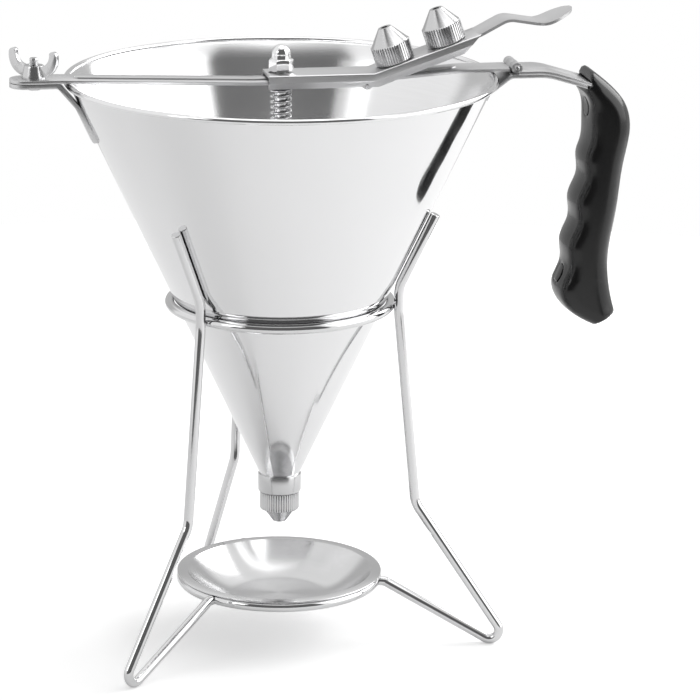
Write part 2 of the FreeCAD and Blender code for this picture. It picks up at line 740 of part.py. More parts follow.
def fulcrum_knuckle():
    """Short barrel welded under the bridge, which carries the lever's pin."""
    half = LEVER_WIDTH / 2 - LEVER_SHEET - FULCRUM_SIDE_GAP
    centre = V(PIVOT_X, -half, rise(PIVOT_RISE))
    barrel = cylinder(PIVOT_PIN_RADIUS + FULCRUM_WALL, 2 * half, centre, ACROSS)
    barrel = barrel.cut(cylinder(PIVOT_PIN_RADIUS + PIN_CLEARANCE, 2 * half, centre, ACROSS))
    under_bar = rise(BAR_LOW_RISE) - BAR_SHEET - TOUCH
    return single(barrel.cut(block(-FAR, FAR, -LEVER_WIDTH, LEVER_WIDTH, under_bar, FAR)))


def pivot_pin():
    """Lever pin, its ends just proud of the flanges."""
    half = LEVER_WIDTH / 2 + PIVOT_PIN_PROUD
    pin = cylinder(PIVOT_PIN_RADIUS, 2 * half, V(PIVOT_X, -half, rise(PIVOT_RISE)), ACROSS)
    return single(pin)


def lever_top(x):
    """Height of the lever's top face over the flat part and the arm."""
    return rise(LEVER_RISE) + max(0.0, x - LEVER_BEND_X) * LEVER_TAN


def thumb_lever():
    """Pressed lever: a channel over the bridge, a raised arm and a round thumb tab."""
    half = LEVER_WIDTH / 2
    top_left = point(LEVER_LEFT, lever_top(LEVER_LEFT))
    bend = point(LEVER_BEND_X, lever_top(LEVER_BEND_X))
    arm_end = point(FLANGE_END_X, lever_top(FLANGE_END_X))
    slope = V(math.cos(math.radians(LEVER_SLOPE)), 0, math.sin(math.radians(LEVER_SLOPE)))
    under = V(slope.z, 0, -slope.x) * ARM_FLANGE
    low_z = rise(LEVER_RISE) - LEVER_FLANGE
    ear_low = point(PIVOT_X, rise(PIVOT_RISE) - PIVOT_PIN_RADIUS - EAR_WALL)
    arm_under = arm_end - slope * FLANGE_SLANT + under
    knee = point(LEVER_BEND_X + KNEE_SHIFT, low_z)
    ear_right = point(PIVOT_X + EAR_HALF, low_z)
    ear_left = point(PIVOT_X - EAR_HALF, low_z)
    outline = Part.Wire([
        line(top_left, bend),
        line(bend, arm_end),
        line(arm_end, arm_under),
        line(arm_under, knee),
        line(knee, ear_right),
        Part.Arc(ear_right, ear_low, ear_left).toShape(),
        line(ear_left, point(LEVER_LEFT, low_z)),
        line(point(LEVER_LEFT, low_z), top_left),
    ])
    face = Part.Face(outline)
    outer = face.extrude(ACROSS * LEVER_WIDTH).translated(ACROSS * (-half))
    top_edges = []
    for edge in outer.Edges:
        a, b = edge.Vertexes[0].Point, edge.Vertexes[-1].Point
        on_top = all(abs(p.z - lever_top(p.x)) < 0.01 for p in (a, b))
        if on_top and abs(a.y - b.y) < 0.01:
            top_edges.append(edge)
    outer = outer.makeFillet(LEVER_CORNER, top_edges)
    inner_half = half - LEVER_SHEET
    sunk = LEVER_SHEET / math.cos(math.radians(LEVER_SLOPE))
    inner_face = Part.Face(Part.makePolygon([
        point(-FAR, lever_top(0) - LEVER_SHEET),
        point(LEVER_BEND_X, lever_top(0) - LEVER_SHEET),
        point(TAB_X, lever_top(TAB_X) - sunk),
        point(TAB_X, 0),
        point(-FAR, 0),
        point(-FAR, lever_top(0) - LEVER_SHEET),
    ]))
    inner = inner_face.extrude(ACROSS * 2 * inner_half).translated(ACROSS * (-inner_half))
    channel = outer.cut(inner)
    peak = point(PEAK_X, lever_top(PEAK_X) - sunk / 2 + PEAK_LIFT)
    neck_start = FLANGE_END_X - NECK_LAP
    start = point(neck_start, lever_top(neck_start) - sunk / 2)
    neck_turn = point(FLANGE_END_X, lever_top(FLANGE_END_X) - sunk / 2)
    dip = point(DIP_X, peak.z - DIP_DROP)
    tab_end = point(TAB_X + TAB_RADIUS + LEVER_SHEET, dip.z + TAB_LIFT)
    arm = strip([start, neck_turn, peak, dip, tab_end], [NECK_BEND, PEAK_BEND, DIP_BEND], LEVER_SHEET,
                4 * TAB_RADIUS)
    neck = block(0, TAB_X, -NECK_WIDTH / 2, NECK_WIDTH / 2, 0, FAR)
    tab = cylinder(TAB_RADIUS, FAR, V(TAB_X, 0, 0))
    channel = channel.fuse(arm.common(neck.fuse(tab)))
    rod_slot = slot(-SLOT_BACK, SLOT_FRONT, ROD_RADIUS + ROD_CLEARANCE, 0, FAR)
    pin_hole = cylinder(PIVOT_PIN_RADIUS + TOUCH, 2 * LEVER_WIDTH,
                        V(PIVOT_X, -LEVER_WIDTH, rise(PIVOT_RISE)), ACROSS)
    return single(channel.cut([rod_slot, pin_hole]))


def on_arm(shape, x):
    """Stands a shape, made upright on z = 0, on the lever's raised arm at x."""
    shape.rotate(V(0, 0, 0), ACROSS, -LEVER_SLOPE)
    return shape.translated(V(x, 0, lever_top(x)))


def nozzle_posts():
    """Posts welded to the lever's arm that hold the spare nozzles."""
    posts = []
    for x in (POST_SMALL_X, POST_LARGE_X):
        post = revolved([
            (0, TOUCH),
            (SPIGOT_RADIUS, TOUCH),
            (SPIGOT_RADIUS, POST_HEIGHT - POST_CHAMFER),
            (SPIGOT_RADIUS - POST_CHAMFER, POST_HEIGHT),
            (POST_BORE, POST_HEIGHT),
            (POST_BORE, POST_FLOOR),
            (0, POST_FLOOR),
        ])
        posts.append(on_arm(post, x))
    return Part.makeCompound(posts)


def spare_nozzle(orifice, x):
    shape = nozzle(SPARE_TIP_HEIGHT, orifice).translated(V(0, 0, FIT_GAP))
    return on_arm(shape, x)


NUT_BASE = rise(LEVER_RISE) + NUT_GAP
SPRING_TOP = rise(BAR_LOW_RISE) - BAR_SHEET - WASHER_DROP - WASHER_CONE - WASHER_SHEET
SPRING_BOTTOM = SPRING_TOP - SPRING_LENGTH
SEAT_TOP = OUTLET_HEIGHT - TOUCH
SEAT_LIFT = SEAT_CLEARANCE * math.sqrt(2)
PLUG_BASE = SEAT_TOP - SEAT_DEPTH + SEAT_LIFT
PLUG_SHOULDER = PLUG_BASE + (PLUG_BODY_RADIUS - VALVE_BORE)


def valve_rod():
    """Straight rod from the cap nut down to the plug, chamfered at both ends."""
    top = NUT_BASE + NUT_HEX_HEIGHT + ROD_IN_DOME
    bottom = PLUG_BASE + PLUG_FLOOR
    rod = revolved([
        (0, bottom),
        (ROD_RADIUS - ROD_FOOT_CHAMFER, bottom),
        (ROD_RADIUS, bottom + ROD_FOOT_CHAMFER),
        (ROD_RADIUS, top - ROD_TOP_CHAMFER),
        (ROD_RADIUS - ROD_TOP_CHAMFER, top),
        (0, top),
    ])
    return single(rod.cut(collar_pin_solid(TOUCH)))


def valve_plug():
    """Soft plug on the rod's end, its cone matched to the seat."""
    top = PLUG_BASE + PLUG_HEIGHT
    plug = revolved([
        (0, PLUG_BASE),
        (VALVE_BORE - TOUCH, PLUG_BASE),
        (PLUG_BODY_RADIUS, PLUG_SHOULDER),
        (PLUG_BODY_RADIUS, top - PLUG_CHAMFER),
        (PLUG_BODY_RADIUS - PLUG_CHAMFER, top),
        (0, top),
    ])
    socket = cylinder(ROD_RADIUS + TOUCH, PLUG_HEIGHT, V(0, 0, PLUG_BASE + PLUG_FLOOR - TOUCH))
    return single(plug.cut(socket))


def acorn_nut():
    """Domed cap nut: a chamfered hexagon with a round cap."""
    across = NUT_FLATS / math.cos(math.pi / 6)
    corners = [V(across / 2 * math.cos(math.pi / 3 * i), across / 2 * math.sin(math.pi / 3 * i), NUT_BASE)
               for i in range(6)]
    hexagon = Part.Face(Part.makePolygon(corners + [corners[0]])).extrude(UP * NUT_HEX_HEIGHT)
    fall = (across / 2 - NUT_BEARING_RADIUS) * NUT_CHAMFER_FALL
    turned = revolved([
        (0, NUT_BASE),
        (NUT_BEARING_RADIUS, NUT_BASE),
        (across / 2 + TOUCH, NUT_BASE + fall),
        (across / 2 + TOUCH, NUT_BASE + NUT_HEX_HEIGHT - fall),
        (NUT_BEARING_RADIUS, NUT_BASE + NUT_HEX_HEIGHT),
        (0, NUT_BASE + NUT_HEX_HEIGHT),
    ])
    body = hexagon.common(turned)
    cap_base = NUT_BASE + NUT_HEX_HEIGHT
    ball_at = NUT_BASE + NUT_HEIGHT - NUT_DOME_RADIUS
    cap = cylinder(NUT_DOME_RADIUS, ball_at - cap_base, V(0, 0, cap_base))
    cap = cap.fuse(Part.makeSphere(NUT_DOME_RADIUS, V(0, 0, ball_at)))
    body = body.fuse(cap)
    thread = cylinder(ROD_RADIUS + TOUCH, NUT_HEX_HEIGHT + ROD_IN_DOME + FIT_GAP, V(0, 0, NUT_BASE))
    return single(body.cut(thread))


def upper_washer():
    """Dished spring washer under the bridge, which lets the rod lean."""
    low = SPRING_TOP + TOUCH
    return revolved([
        (WASHER_HOLE, low),
        (WASHER_RADIUS, low),
        (WASHER_RADIUS, low + WASHER_SHEET),
        (WASHER_HOLE, low + WASHER_SHEET + WASHER_CONE),
    ])


def spring_collar():
    """Collar on the rod that the spring pushes down on, cross-drilled for its pin."""
    top = SPRING_BOTTOM - TOUCH
    ring = revolved([
        (ROD_RADIUS + TOUCH, top - COLLAR_STOP_HEIGHT),
        (COLLAR_STOP_RADIUS - COLLAR_CHAMFER, top - COLLAR_STOP_HEIGHT),
        (COLLAR_STOP_RADIUS, top - COLLAR_STOP_HEIGHT + COLLAR_CHAMFER),
        (COLLAR_STOP_RADIUS, top),
        (ROD_RADIUS + TOUCH, top),
    ])
    return single(ring.cut(collar_pin_solid(TOUCH)))


def collar_pin_solid(gap):
    height = SPRING_BOTTOM - TOUCH - COLLAR_STOP_HEIGHT / 2
    half = COLLAR_STOP_RADIUS + COLLAR_PIN_PROUD
    return cylinder(COLLAR_PIN_RADIUS + gap, 2 * half, V(0, -half, height), ACROSS)


def collar_pin():
    """Cross pin that fixes the collar to the rod."""
    return collar_pin_solid(0)


def biarc(a, ta, b, tb):
    """Two tangent arcs from a to b with the given end directions."""
    v = b - a
    t = ta + tb
    denominator = 2 * (1 - ta.dot(tb))
    vt = v.dot(t)
    root = math.sqrt(vt * vt + denominator * v.dot(v))
    d = (root - vt) / denominator if denominator > 1e-9 else v.dot(v) / (4 * v.dot(tb))
    join = ((a + ta * d) + (b - tb * d)) * 0.5
    first = Part.Arc(a, arc_middle(a, join, ta), join)
    second = Part.Arc(join, arc_middle(b, join, -tb), b)
    return [first.toShape(), second.toShape()]


def arc_middle(start, end, direction):
    """Half-way point of the arc that leaves start in the given direction and reaches end."""
    chord = end - start
    inward = direction.cross(chord.cross(direction)).normalize()
    radius = chord.Length ** 2 / (2 * chord.dot(inward))
    centre = start + inward * radius
    return centre + ((start + end) * 0.5 - centre).normalize() * radius


def spring_point(turn):
    """Middle of the spring's wire after so many turns, and its direction there.
    The end turns close up over the first and last turn."""
    travel = SPRING_LENGTH - 2 * SPRING_WIRE_RADIUS
    closed = SPRING_END_TURNS
    end_pitch = 2 * SPRING_WIRE_RADIUS + SPRING_END_GAP
    open_pitch = (travel - 2 * closed * end_pitch) / (SPRING_TURNS - 2 * closed)
    if turn < closed:
        height, pitch = turn * end_pitch, end_pitch
    elif turn > SPRING_TURNS - closed:
        height = travel - (SPRING_TURNS - turn) * end_pitch
        pitch = end_pitch
    else:
        height, pitch = closed * end_pitch + (turn - closed) * open_pitch, open_pitch
    angle = 2 * math.pi * turn
    radius = SPRING_MEAN_RADIUS
    place = V(radius * math.cos(angle), radius * math.sin(angle),
              SPRING_BOTTOM + SPRING_WIRE_RADIUS + height)
    direction = V(-math.sin(angle), math.cos(angle), pitch / (2 * math.pi * radius)).normalize()
    return place, direction


def return_spring():
    """Compression spring round the rod: one unbroken wire, wound by its pitch."""
    steps = int(SPRING_TURNS * 4)
    edges = []
    for i in range(steps):
        a, ta = spring_point(i / 4)
        b, tb = spring_point((i + 1) / 4)
        edges += biarc(a, ta, b, tb)
    print("spring gap to itself", round(spring_gap(), 3), "mm")
    return tube(edges, SPRING_WIRE_RADIUS)


def spring_gap():
    """Least distance between the wire's surface on neighbouring turns."""
    count = 24
    points = [spring_point(i / count)[0] for i in range(int(SPRING_TURNS * count) + 1)]
    least = 1e9
    for i, p in enumerate(points):
        for q in points[i + count // 2:i + count * 2]:
            least = min(least, p.distanceToPoint(q))
    return least - 2 * SPRING_WIRE_RADIUS


def cone_ring():
    """Wire hoop that the bowl hangs in."""
    return Part.makeTorus(RING_RADIUS, WIRE_RADIUS, V(0, 0, RING_HEIGHT), UP)


def tray_ring():
    """Wire hoop that the drip tray rests on."""
    return Part.makeTorus(TRAY_RING_RADIUS, WIRE_RADIUS, V(0, 0, TRAY_RING_HEIGHT), UP)


def tangent_from(outside, centre, radius, side):
    """Where a line from an outside point touches a circle in the XZ plane."""
    gap = centre - outside
    reach = math.sqrt(gap.Length ** 2 - radius ** 2)
    angle = math.atan2(gap.z, gap.x) + side * math.asin(radius / gap.Length)
    return outside + V(math.cos(angle), 0, math.sin(angle)) * reach


def stand_leg(azimuth):
    """One continuous wire: prong beside the bowl, shin, knee, foot bend and back to the tray ring."""
    prong_gap = (WIRE_RADIUS + FIT_GAP) / CONE_COS
    tip = point(cone_radius(PRONG_HEIGHT) + prong_gap, PRONG_HEIGHT)
    kink_height = RING_HEIGHT + PRONG_KINK
    lean = (tip - point(cone_radius(kink_height) + prong_gap, kink_height)).normalize()
    kink = tip - lean * ((tip.x - LEG_AT_RING) / lean.x)
    below = point(LEG_AT_RING, RING_HEIGHT - WIRE_RADIUS)
    knee = point(KNEE_RADIUS, KNEE_HEIGHT)
    centre = point(FOOT_REACH - FOOT_BEND, WIRE_RADIUS + FOOT_BEND)
    end = point(TRAY_RING_RADIUS + 2 * WIRE_RADIUS - WELD_DEPTH, TRAY_RING_HEIGHT)
    outer = tangent_from(knee, centre, FOOT_BEND, 1)
    inner = tangent_from(end, centre, FOOT_BEND, -1)
    down = rounded_path([tip, kink, below, knee, outer], [LEG_BEND, SHIN_BEND, LEG_BEND])
    halfway = ((outer + inner) * 0.5 - centre).normalize() * -FOOT_BEND
    toe = centre - halfway if halfway.x < 0 else centre + halfway
    edges = down + [Part.Arc(outer, toe, inner).toShape(), line(inner, end)]
    leg = tube(edges, WIRE_RADIUS)
    leg.rotate(V(0, 0, 0), UP, azimuth)
    return leg


def drip_tray():
    """Pressed saucer with a narrow flat rim."""
    inner_rim = TRAY_RIM_RADIUS - TRAY_RIM_WIDTH
    floor = TRAY_RIM_HEIGHT - TRAY_DEPTH
    middle = point((inner_rim + TRAY_FLOOR_RADIUS) / 2 + TRAY_BULGE, floor + TRAY_DEPTH * TRAY_BULGE_SHARE)
    top_edge = point(inner_rim, TRAY_RIM_HEIGHT - SHEET_THIN / 2)
    bowl_edge = point(TRAY_FLOOR_RADIUS, floor)
    edges = [
        line(point(TRAY_RIM_RADIUS, top_edge.z), top_edge),
        Part.Arc(top_edge, middle, bowl_edge).toShape(),
        line(bowl_edge, point(0, floor)),
    ]
    half = SHEET_THIN / 2
    upper = Part.Wire([edge.translated(V(0, 0, half)) for edge in edges])
    lower = Part.Wire([edge.translated(V(0, 0, -half)) for edge in edges])
    rim = line(point(TRAY_RIM_RADIUS, top_edge.z + half), point(TRAY_RIM_RADIUS, top_edge.z - half))
    axis = line(point(0, floor + half), point(0, floor - half))
    outline = Part.Wire(Part.__sortEdges__(upper.Edges + lower.Edges + [rim, axis]))
    return Part.Face(outline).revolve(V(0, 0, 0), UP, 360)


def parts():
    shapes = {
        "cone_ring": cone_ring(),
        "tray_ring": tray_ring(),
        "drip_tray": drip_tray(),
        "funnel_cone": funnel_cone(),
        "outlet_collar": outlet_collar(),
        "stud_bracket": stud_bracket(),
        "wing_stud": wing_stud(),
        "handle_bracket": handle_bracket(),
        "hinge_strap": hinge_strap(),
        "hinge_pin": hinge_pin(),
        "handle_grip": handle_grip(),
        "grip_plugs": grip_plugs(),
        "grip_screws": grip_screws(),
        "bridge_bar": bridge_bar(),
        "fulcrum_knuckle": fulcrum_knuckle(),
        "wing_nut": wing_nut(),
        "thumb_lever": thumb_lever(),
        "pivot_pin": pivot_pin(),
        "nozzle_posts": nozzle_posts(),
        "upper_washer": upper_washer(),
        "return_spring": return_spring(),
        "valve_rod": valve_rod(),
        "valve_plug": valve_plug(),
        "acorn_nut": acorn_nut(),
        "spring_collar": spring_collar(),
        "collar_pin": collar_pin(),
        "fitted_nozzle": fitted_nozzle(),
        "spare_nozzle_small": spare_nozzle(SMALL_ORIFICE, POST_SMALL_X),
        "spare_nozzle_large": spare_nozzle(LARGE_ORIFICE, POST_LARGE_X),
    }
    for i in range(LEG_COUNT):
        azimuth = LEG_AZIMUTH + i * 360 / LEG_COUNT
        shapes["stand_leg_%d" % (i + 1)] = stand_leg(azimuth)
    return shapes


os.makedirs("parts", exist_ok=True)
for name, shape in parts().items():
    shape.exportStep("parts/" + name + ".step")
    print(name, shape.ShapeType, len(shape.Solids), "valid" if shape.isValid() else "NOT VALID",
          round(shape.Volume, 1))
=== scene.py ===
"""Looks of the batter dispenser: finishes, turned and wound pieces, and a plain stage.

Everything is in metres, with the origin on the standing surface under the bowl.
"""

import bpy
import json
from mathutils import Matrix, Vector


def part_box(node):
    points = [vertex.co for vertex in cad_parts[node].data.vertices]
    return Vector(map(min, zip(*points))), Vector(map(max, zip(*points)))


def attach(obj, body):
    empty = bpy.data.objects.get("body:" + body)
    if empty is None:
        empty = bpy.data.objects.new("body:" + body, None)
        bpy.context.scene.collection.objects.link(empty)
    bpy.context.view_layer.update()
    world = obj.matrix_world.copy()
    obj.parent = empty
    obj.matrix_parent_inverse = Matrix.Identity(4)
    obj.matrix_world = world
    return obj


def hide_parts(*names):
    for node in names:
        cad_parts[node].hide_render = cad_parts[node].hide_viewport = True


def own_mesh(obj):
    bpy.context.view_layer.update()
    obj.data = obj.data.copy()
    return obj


bl_info = {
    "name": "Batter dispenser",
    "version": (1, 0, 0),
    "blender": (4, 5, 0),
    "location": "View3D > Sidebar > Dispenser",
    "description": "Models and finishes a batter dispenser round its packed frame",
    "category": "Object",
}

import json
import math

import bpy
from bpy.props import FloatProperty, FloatVectorProperty, IntProperty, PointerProperty
from mathutils import Matrix, Vector

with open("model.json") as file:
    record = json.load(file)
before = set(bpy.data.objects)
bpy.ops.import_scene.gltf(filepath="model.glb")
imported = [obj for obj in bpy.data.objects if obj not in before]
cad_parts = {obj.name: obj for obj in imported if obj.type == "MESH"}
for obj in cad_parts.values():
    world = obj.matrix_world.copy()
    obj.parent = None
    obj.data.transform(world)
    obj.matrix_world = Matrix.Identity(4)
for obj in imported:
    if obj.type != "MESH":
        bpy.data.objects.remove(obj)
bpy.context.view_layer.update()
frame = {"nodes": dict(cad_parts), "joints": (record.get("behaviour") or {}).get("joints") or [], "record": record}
JOINTS = {joint["name"]: joint for joint in frame["joints"]}

PHOTO_SIDE = 700
SENSOR = 0.036
MERGE = 1e-6
NEAR = 20 * MERGE
UP = Vector((0, 0, 1))

BUMP_REACH = 0.0002
LEVEL_GRAIN = (30, 30, 2600)

# Sizes of the pieces that are drawn anew, in metres, and the slope of a leg's run in degrees.
NOZZLE_CHAMFER = 0.0004
SPARE_TIP = 0.0076
SPARE_GAP = 0.0003
FITTED_SHOULDER = 0.0074
SPARE_SHOULDER = 0.0086
TURNED_EDGE = 0.0003
WIRE_EDGE = 0.0004
LEG_RUN_SLOPE = 27.6

# Angles in degrees: faces that are flatter than this to each other are joined in a copied shape,
# and edges that are sharper than this are rounded.
FLAT_ANGLE = 0.2
SHARP_ANGLE = 32.0


def low(node):
    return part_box(node)[0]


def high(node):
    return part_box(node)[1]


RIM_HEIGHT = high("funnel_cone")[2]
BOWL_REACH = high("funnel_cone")[0]
OUTLET_HEIGHT = low("funnel_cone")[2]
WIRE = (high("cone_ring")[2] - low("cone_ring")[2]) / 2


class DispenserSizes(bpy.types.PropertyGroup):
    """Sizes that the finished pieces add to those of the frame."""

    bead: FloatProperty(name="Bead", description="Radius of the rolled rim",
                        default=0.0013, unit="LENGTH")
    bowl_wall: FloatProperty(name="Bowl wall", description="Sheet of the bowl, level",
                             default=0.00088, precision=5, unit="LENGTH")
    outlet: FloatProperty(name="Outlet", description="Outer radius of the bowl's lower end",
                          default=0.0095, unit="LENGTH")
    sheet: FloatProperty(name="Tray sheet", description="Thickness of the drip tray",
                         default=0.0008, unit="LENGTH")
    tray_rim: FloatProperty(name="Tray rim", description="Width of the tray's flat rim",
                            default=0.0048, unit="LENGTH")
    tray_flat: FloatProperty(name="Tray flat", description="Radius of the tray's flat middle",
                             default=0.021, unit="LENGTH")
    tray_cone: FloatProperty(name="Tray cone", description="1 is a straight cone, more is rounder",
                             default=1.7)
    edge: FloatProperty(name="Edge rounding", description="Rounding of cut and pressed edges",
                        default=0.00022, precision=5, unit="LENGTH")
    skirt: FloatProperty(name="Skirt", description="Height of a nozzle's knurled skirt",
                         default=0.0088, unit="LENGTH")
    knurl_depth: FloatProperty(name="Knurl depth", description="Depth of the knurl's grooves",
                               default=0.00045, precision=5, unit="LENGTH")
    knurl_teeth: IntProperty(name="Knurl teeth", description="Teeth round a nozzle", default=48)
    fold: FloatProperty(name="Fold", description="Rounding of the lever's folded edges",
                        default=0.0006, precision=4, unit="LENGTH")
    crease: FloatProperty(name="Crease", description="How far the lever's flanges bulge",
                          default=0.0005, precision=5, unit="LENGTH")
    crease_drop: FloatProperty(name="Crease drop", description="The bulge's place below the lever's top",
                               default=0.0033, precision=4, unit="LENGTH")
    finger_crown: FloatProperty(name="Finger crown", description="Rise of the grip's finger side",
                                default=0.0018, precision=4, unit="LENGTH")
    back_crown: FloatProperty(name="Back crown", description="Rise of the grip's back",
                              default=0.0022, precision=4, unit="LENGTH")
    spring_turns: FloatProperty(name="Spring turns", description="Turns of the return spring",
                                default=15.5)
    spring_wire: FloatProperty(name="Spring wire", description="Radius of the spring's wire",
                               default=0.0006, precision=4, unit="LENGTH")
    thread_pitch: FloatProperty(name="Thread pitch", description="Pitch of the stud's thread",
                                default=0.0007, precision=4, unit="LENGTH")


class DispenserColours(bpy.types.PropertyGroup):
    """Base colours of the finishes."""

    polished: FloatVectorProperty(name="Polished steel", description="Bowl, outside and inside",
                                  subtype="COLOR", default=(0.80, 0.80, 0.805))
    brushed: FloatVectorProperty(name="Brushed steel", description="Drip tray",
                                 subtype="COLOR", default=(0.66, 0.66, 0.665))
    satin: FloatVectorProperty(name="Satin sheet", description="Lever, bridge and straps",
                               subtype="COLOR", default=(0.64, 0.64, 0.645))
    turned: FloatVectorProperty(name="Turned steel", description="Nozzles, nuts and pins",
                                subtype="COLOR", default=(0.60, 0.60, 0.605))
    wire: FloatVectorProperty(name="Wire", description="Bright wire of the stand",
                              subtype="COLOR", default=(0.70, 0.70, 0.705))
    spring: FloatVectorProperty(name="Spring wire", description="Wire of the return spring",
                                subtype="COLOR", default=(0.62, 0.62, 0.625))
    grip: FloatVectorProperty(name="Grip", description="Moulded grip",
                              subtype="COLOR", default=(0.003, 0.003, 0.0032))
    seal: FloatVectorProperty(name="Seal", description="Soft valve plug",
                              subtype="COLOR", default=(0.70, 0.70, 0.68))


def sizes():
    return bpy.context.scene.dispenser_sizes


def colours():
    return bpy.context.scene.dispenser_colours


class Signal:
    """A shader socket that Python arithmetic adds Math nodes to."""

    def __init__(self, finish, socket):
        self.finish = finish
        self.socket = socket

    def math(self, operation, *others):
        return self.finish.add("ShaderNodeMath", {"operation": operation}, self, *others)

    def __add__(self, other):
        return self.math("ADD", other)

    __radd__ = __add__

    def __sub__(self, other):
        return self.math("SUBTRACT", other)

    def __rsub__(self, other):
        return self.finish.add("ShaderNodeMath", {"operation": "SUBTRACT"}, other, self)

    def __mul__(self, other):
        return self.math("MULTIPLY", other)

    __rmul__ = __mul__


class Finish:
    """A node tree for one finish, on a material or the world."""

    def __init__(self, tree):
        self.tree = tree
        tree.nodes.clear()

    def add(self, kind, settings, *inputs, out=0, **named):
        node = self.tree.nodes.new(kind)
        for key, value in settings.items():
            setattr(node, key, value)
        pairs = list(enumerate(inputs)) + [(k.replace("_", " "), v) for k, v in named.items()]
        for key, value in pairs:
            socket = node.inputs[key]
            if isinstance(value, Signal):
                self.tree.links.new(value.socket, socket)
            else:
                socket.default_value = value
        return Signal(self, node.outputs[out]) if len(node.outputs) else node

    def place(self):
        return self.add("ShaderNodeTexCoord", {}, out="Object")

    def height(self, vector):
        return self.add("ShaderNodeSeparateXYZ", {}, vector, out="Z")

    def ramp(self, value, start, end, at_start, at_end):
        """The value carried smoothly from one range to another."""
        return self.add("ShaderNodeMapRange", {"interpolation_type": "SMOOTHSTEP"}, value,
                        start, end, at_start, at_end)

    def stretched(self, vector, scale):
        """Noise that is drawn out along the axis with the smallest scale."""
        mapped = self.add("ShaderNodeMapping", {}, Vector=vector, Scale=scale)
        return self.add("ShaderNodeTexNoise", {}, Vector=mapped, Scale=1.0, Detail=3.0)

    def tint(self, colour, amount):
        """The colour times the amount, which is 1 where the colour stays as it is."""
        shade = self.add("ShaderNodeCombineColor", {}, amount, amount, amount)
        node = self.tree.nodes.new("ShaderNodeMix")
        node.data_type = "RGBA"
        node.blend_type = "MULTIPLY"
        node.inputs[0].default_value = 1.0
        node.inputs[6].default_value = (*colour, 1)
        self.tree.links.new(shade.socket, node.inputs[7])
        return Signal(self, node.outputs[2])


def new_material(name):
    """An empty material and the finish that fills it."""
    material = bpy.data.materials.new(name)
    material.use_nodes = True
    return material, Finish(material.node_tree)


def metal(name, colour, roughness, brushing=0.0, around=True, grain=(60, 60, 4000), depth=0.02,
          shade=0.06, wear=0.06):
    """A bare metal: drawn-out grain, faint handling marks and a slightly uneven sheen."""
    mark_scale = (45, 45, 45)
    material, finish = new_material(name)
    place = finish.place()
    lines = finish.stretched(place, grain)
    marks = finish.stretched(place, mark_scale)
    amount = (lines - 0.5) * shade + (marks - 0.5) * shade + 1.0
    height = finish.add("ShaderNodeBump", {}, Strength=depth, Distance=BUMP_REACH, Height=lines)
    shader = finish.add(
        "ShaderNodeBsdfPrincipled", {},
        Base_Color=finish.tint(colour, amount), Metallic=1.0,
        Roughness=(marks - 0.5) * wear + (lines - 0.5) * wear + roughness,
        Anisotropic=brushing, Anisotropic_Rotation=0.25 if around else 0.0, Normal=height)
    finish.add("ShaderNodeOutputMaterial", {}, shader)
    return material


def bowl_metal():
    """Mirror polish outside, and inside the fine round scratches of spinning and cleaning."""
    mark_scale = (26, 26, 26)
    line_shade, mark_shade, line_depth = 0.07, 0.03, 0.03
    polish, brush, wear, streak = 0.055, 0.13, 0.03, 0.9
    material, finish = new_material("bowl_polish_and_brush")
    place = finish.place()
    facing = finish.add("ShaderNodeNewGeometry", {}, out="Normal")
    level = finish.add("ShaderNodeVectorMath", {"operation": "MULTIPLY"}, place, (1, 1, 0))
    outward = finish.add("ShaderNodeVectorMath", {"operation": "DOT_PRODUCT"}, facing, level, out="Value")
    inside = outward.math("LESS_THAN", 0.0)
    lines = finish.stretched(place, LEVEL_GRAIN)
    marks = finish.stretched(place, mark_scale)
    amount = (lines - 0.5) * inside * line_shade + (marks - 0.5) * mark_shade + 1.0
    height = finish.add("ShaderNodeBump", {}, Strength=line_depth, Distance=BUMP_REACH,
                        Height=lines * inside)
    shader = finish.add(
        "ShaderNodeBsdfPrincipled", {},
        Base_Color=finish.tint(colours().polished, amount), Metallic=1.0,
        Roughness=inside * brush + (marks - 0.5) * wear + polish,
        Anisotropic=streak, Anisotropic_Rotation=0.25, Normal=height)
    finish.add("ShaderNodeOutputMaterial", {}, shader)
    return material


def moulded(name, colour, roughness, grain, depth, sheen):
    """A moulded piece: fine pitted grain and handling marks in the sheen."""
    mark_scale = (38, 38, 14)
    mark_shade, wear = 0.2, 0.12
    material, finish = new_material(name)
    place = finish.place()
    pits = finish.stretched(place, (grain, grain, grain))
    marks = finish.stretched(place, mark_scale)
    height = finish.add("ShaderNodeBump", {}, Strength=depth, Distance=BUMP_REACH, Height=pits)
    shader = finish.add(
        "ShaderNodeBsdfPrincipled", {},
        Base_Color=finish.tint(colour, (marks - 0.5) * mark_shade + 1.0), Metallic=0.0,
        Roughness=(marks - 0.5) * wear + roughness, Specular_IOR_Level=sheen, Normal=height)
    finish.add("ShaderNodeOutputMaterial", {}, shader)
    return material


def make_finishes():
    """Every finish, under the record's name of its slot."""
    c = colours()
    return {
        "mirror_steel": bowl_metal(),
        "brushed_steel": metal("tray_brushed", c.brushed, 0.18, brushing=0.95, grain=LEVEL_GRAIN),
        "bright_wire": metal("wire_bright", c.wire, 0.07, depth=0.01, shade=0.03, wear=0.03),
        "satin_sheet": metal("sheet_satin", c.satin, 0.36, brushing=0.4, around=False,
                             grain=(40, 2600, 2600)),
        "turned_steel": metal("steel_turned", c.turned, 0.20, brushing=0.6, grain=(80, 80, 3200)),
        "spring_steel": metal("spring_wire", c.spring, 0.20, depth=0.01),
        "black_grip": moulded("grip_black", c.grip, 0.20, grain=2400, depth=0.03, sheen=0.5),
        "valve_seal": moulded("valve_seal", c.seal, 0.55, grain=900, depth=0.08, sheen=0.4),
    }


FINISHES = {}


def slot_of(node):
    for subpart in frame["record"]["subparts"]:
        if subpart["node"] == node:
            return subpart["material_slot"]
    raise RuntimeError("no slot for " + node)


